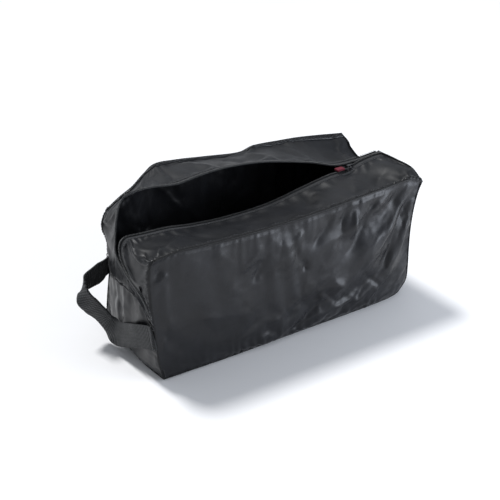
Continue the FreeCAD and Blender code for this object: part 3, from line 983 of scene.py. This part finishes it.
def make_hem(side, surface):
    """The seam allowance turned over and topstitched beside a top seam."""
    out = 1 if side == "front" else -1
    normals = grid_normals(surface) * out
    rows = surface[:, 0:4]
    along = grid_uv(surface)[:, 0:4, 0]
    tight = smooth((rows[:, :, 0] + 10) / 90)
    gather = 1 + tight * 0.75 * np.sin(2 * math.pi * along / 5.2 + 3 * np.sin(along / 17))
    lifted = rows + normals[:, 0:4] * (np.array([0.5, 1.25, 1.25, 0.5])[None, :] * gather)[..., None]
    hem = grid_mesh(side + "_hem", lifted, flip=out < 0)
    thicken(hem, HEM_THICK)
    thread = stitches(side + "_hem_stitch", surface[:, 2] + normals[:, 2] * 1.35, normals[:, 2])
    split_piece(hem, NYLON, "bag_nylon")
    split_piece(thread, THREAD, "thread", layered=False)


def bar_tack(name, centre, along, across, length, width, node):
    """A dense zigzag of thread across a seam's end."""
    a = np.array(along, float) / np.linalg.norm(along)
    c = np.array(across, float) / np.linalg.norm(across)
    turns = int(length / 0.6)
    line = [np.array(centre) + a * (n / turns - 0.5) * length + c * (0.5 if n % 2 else -0.5) * width
            for n in range(turns + 1)]
    piece = tube(name, np.array(line), 0.34, 6, np.cross(a, c))
    finish_piece(piece, THREAD, "thread", node)
    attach(piece, "shell")


def seam_binding(name, points, centre, shift, node):
    """Tape folded over the raw seam edges, lying inside the shell."""
    line = spline(points, 150)
    inward = np.array(centre, float) - line
    for axis, moved in enumerate(shift):
        if moved:
            inward[:, axis] = 0
    inward /= np.linalg.norm(inward, axis=1, keepdims=True)
    start = line + np.array(shift, float) + inward * 1.2
    rows = np.linspace(0, 7.0, 4)
    grid = start[:, None, :] + inward[:, None, :] * rows[None, :, None]
    grid += np.sin(np.arange(150) * 0.55)[:, None, None] * np.array(shift, float) * 0.12
    piece = thicken(grid_mesh(name, grid), BINDING_THICK)
    finish_piece(piece, BINDING, "binding_tape", node)
    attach(piece, "shell")


# ---- build: cloth
front_cloth = front_panel()
back_cloth = back_panel()
left_cloth = left_end()
right_cloth = right_end()
bottom_cloth = bottom_panel()
for panel in (front_cloth, back_cloth, left_cloth, right_cloth, bottom_cloth):
    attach(panel, "shell")

FRONT_STRIP_CREASES = [
    ((96, 10), (150, 40), 7, 2.4), ((120, 45), (170, 12), 6, -2.2), ((190, 8), (230, 40), 6, 1.6),
    ((260, 10), (300, 44), 6, -1.8), ((330, 12), (360, 46), 5, 2.0), ((352, 8), (392, 30), 5, -2.0),
    ((30, 12), (60, 50), 6, 1.2), ((74, 1), (92, 24), 5, -5.0), ((86, 2), (106, 20), 4, 3.0),
]
BACK_STRIP_CREASES = [
    ((140, 6), (170, 46), 7, 2.6), ((176, 10), (206, 50), 6, -2.2), ((232, 8), (222, 52), 5, -2.4),
    ((250, 6), (280, 48), 6, 2.4), ((296, 10), (320, 44), 6, -2.2), ((330, 8), (350, 50), 7, 2.4),
    ((372, 8), (392, 46), 6, -2.0), ((60, 10), (90, 48), 6, 2.0), ((20, 10), (50, 50), 6, -1.6),
]
front_strip, front_zip_line = make_strip(
    "front", FRONT_STATIONS, FOOT_EDGE_FRONT, RIM_FRONT, False, 53.0, FRONT_STRIP_CREASES, 1.5)
back_strip, back_zip_line = make_strip(
    "back", BACK_STATIONS, FOOT_EDGE_BACK, RIM_BACK, True, 63.0, BACK_STRIP_CREASES, 2.0)
make_zip_half("front", front_zip_line, front_strip)
make_zip_half("back", back_zip_line, back_strip)
make_hem("front", front_strip)
make_hem("back", back_strip)

# ---- build: bindings, bar tacks, metal
LEFT_EDGE = POST_FRONT_LEFT[-2::-1] + FLOOR_LEFT[1:-1] + POST_BACK_LEFT[:-1]
RIGHT_EDGE = POST_FRONT_RIGHT[-2::-1] + FLOOR_RIGHT[1:-1] + POST_BACK_RIGHT[:-1]
seam_binding("left_binding", [(-166, -69, 58)] + LEFT_EDGE, (-150, 0, 45), (2.4, 0, 0), "left_seam_binding")
seam_binding("right_binding", [(161, -68, 135)] + RIGHT_EDGE, (150, 0, 80), (-2.4, 0, 0), "right_seam_binding")
seam_binding("front_binding", FLOOR_FRONT, (0, 0, 2), (0, 0, 1.9), "front_bottom_binding")
seam_binding("back_binding", FLOOR_BACK, (0, 0, 2), (0, 0, 1.9), "back_bottom_binding")
bar_tack("zip_foot_tack", (-167.6, -61, 70), (0, 1, 0.1), (0, -0.1, 1), 9, 2.6, "left_bar_tack")
bar_tack("zip_end_tack", (160.2, -0.8, 150.9), (0, 1, 0), (1, 0, 0.2), 9, 2.4, "right_bar_tack")
bar_tack("loop_front_tack", (-170.3, -67.5, 53), (0, 0.2, 1), (-0.1, 1, 0), 23, 2.2, "handle_front_bar_tack")
bar_tack("loop_back_tack", (-154.5, 64.2, 70.5), (0, -0.1, 1), (-1, -0.9, 0), 23, 2.2, "handle_back_bar_tack")

for name, material in (("zip_slider", METAL), ("zip_pull", METAL), ("red_pull_tab", RED)):
    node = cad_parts[name]
    node.data.materials.clear()
    node.data.materials.append(material)

# ---- build: welts
FRONT_TOP = seam_points(FRONT_STATIONS, FRONT_CORNER)
BACK_TOP = seam_points(BACK_STATIONS, BACK_CORNER)
WELTS = {
    "front_top_welt": (FRONT_TOP, (0, 0, 1)),
    "back_top_welt": (BACK_TOP, (0, 0, 1)),
    "front_left_welt": (POST_FRONT_LEFT[:-1] + seam_points(FRONT_STATIONS, 0, FRONT_CORNER + 1), (1, 0, 0)),
    "back_left_welt": (POST_BACK_LEFT[:-1] + seam_points(BACK_STATIONS, BACK_FOOT, BACK_CORNER + 1), (1, 0, 0)),
    "front_right_welt": (POST_FRONT_RIGHT, (1, 0, 0)),
    "back_right_welt": (POST_BACK_RIGHT, (1, 0, 0)),
    "front_bottom_welt": (FLOOR_FRONT, (0, 0, 1)),
    "back_bottom_welt": (FLOOR_BACK, (0, 0, 1)),
    "left_bottom_welt": (FLOOR_LEFT, (0, 0, 1)),
    "right_bottom_welt": (FLOOR_RIGHT, (0, 0, 1)),
    "right_rim_welt": (RIM_FRONT[:-1] + [(160, -0.8, 150.3)] + RIM_BACK[::-1][1:], (0, 0, 1)),
    "left_end_welt": (end_seam(), (1, 0, 0)),
}
for name, (points, up) in WELTS.items():
    radius = TOP_WELT if name in ("front_top_welt", "back_top_welt") else WELT
    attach(welt(name, points, up, radius), "shell")


# ---- build: carry loop
STRAP_ROUTE = [
    ((-150.5, 66.5, 70), (0.1, -0.1, 1)), ((-158, 57, 72), (0.1, -0.2, 1)), ((-167, 48, 73), (0.05, -0.3, 1)),
    ((-182, 41, 72.5), (0, -0.15, 1)), ((-193, 38, 69.5), (0, -0.1, 1)), ((-197.5, 33, 65), (0, -0.1, 1)),
    ((-197, 28, 56), (0.1, -0.25, 1)), ((-190, 26, 44), (0.25, -0.6, 0.8)), ((-182, 25, 33), (0.3, -0.75, 0.55)),
    ((-176.5, 18, 24), (0.2, -0.4, 0.8)), ((-176.5, 5, 22), (0, 0.0, 1)), ((-175.5, -12, 28), (0, 0.15, 1)),
    ((-174.5, -38, 41), (0, 0.3, 0.95)), ((-171.5, -60, 50), (0, 0.25, 1)), ((-168.8, -69.5, 53), (0, 0.2, 1)),
]


def carry_loop():
    """Webbing on edge, drooping and twisting a little as it goes round."""
    line = spline([place for place, _ in STRAP_ROUTE], 170)
    rise = spline([lean for _, lean in STRAP_ROUTE], 170)
    along = unit(np.gradient(line, axis=0))
    rise = unit(rise - along * (rise * along).sum(axis=1, keepdims=True))
    piece = ribbon("carry_loop_webbing", line, rise, STRAP_WIDTH / 2, 13, STRAP_THICK)
    finish_piece(piece, WEBBING, "webbing", "carry_handle", "handle_front_end", "handle_back_end")
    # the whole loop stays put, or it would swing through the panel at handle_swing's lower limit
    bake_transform(piece)


carry_loop()

# ---- floor, light
FLOOR = bpy.data.objects.new("floor", bpy.data.meshes.new("floor"))
FLOOR.data.from_pydata([(-60, -60, 0), (60, -60, 0), (60, 60, 0), (-60, 60, 0)], [], [(0, 1, 2, 3)])
FLOOR.data.materials.append(floor_paint("studio_floor"))
bpy.context.collection.objects.link(FLOOR)


def area_light(name, place, target, size, power, color=(1, 1, 1)):
    """A soft square light aimed at a point."""
    light = bpy.data.lights.new(name, "AREA")
    light.size = size
    light.energy = power
    light.color = color
    lamp = bpy.data.objects.new(name, light)
    lamp.location = place
    lamp.rotation_euler = (Vector(target) - Vector(place)).to_track_quat("-Z", "Y").to_euler()
    bpy.context.collection.objects.link(lamp)


SUN_ENERGY = 2.7
SUN_ANGLE = 0.22       # wide, for a soft shadow
SUN_DIRECTION = (0.15, -0.52, -1.0)
SKY_COLOR = (0.90, 0.94, 1.0, 1)
SKY_STRENGTH = 0.46
sun = bpy.data.lights.new("key_light", "SUN")
sun.energy = SUN_ENERGY
sun.angle = SUN_ANGLE
sun_lamp = bpy.data.objects.new("key_light", sun)
sun_lamp.rotation_euler = Vector(SUN_DIRECTION).to_track_quat("-Z", "Y").to_euler()
bpy.context.collection.objects.link(sun_lamp)
area_light("low_softbox", (0.62, -0.60, 0.13), (0.08, -0.07, 0.08), 0.5, 2.8, (0.80, 0.87, 1.0))
area_light("right_softbox", (1.0, -1.2, 0.42), (0.05, -0.05, 0.08), 0.9, 14.0, (0.86, 0.91, 1.0))

world = bpy.data.worlds.new("studio")
world.use_nodes = True
world.node_tree.nodes["Background"].inputs["Color"].default_value = SKY_COLOR
world.node_tree.nodes["Background"].inputs["Strength"].default_value = SKY_STRENGTH
bpy.context.scene.world = world
bpy.context.scene.view_settings.view_transform = "Standard"

# ---- camera
# fitted to the bag's corners in the photo
AZIMUTH = math.radians(-32.5)
ELEVATION = math.radians(28.1)
DISTANCE = 0.977
TARGET = Vector((-0.0149, 0.0, 0.0744))
LENS = 64.8
BACKWARD = Vector((math.sin(AZIMUTH) * math.cos(ELEVATION), -math.cos(AZIMUTH) * math.cos(ELEVATION),
                   math.sin(ELEVATION)))
camera_data = bpy.data.cameras.new("camera")
camera_data.sensor_width = 36.0
camera_data.lens = LENS
camera_data.clip_start = 0.01
camera = bpy.data.objects.new("camera", camera_data)
camera.location = TARGET + BACKWARD * DISTANCE
camera.rotation_euler = (-BACKWARD).to_track_quat("-Z", "Y").to_euler()
bpy.context.collection.objects.link(camera)
bpy.context.scene.camera = camera
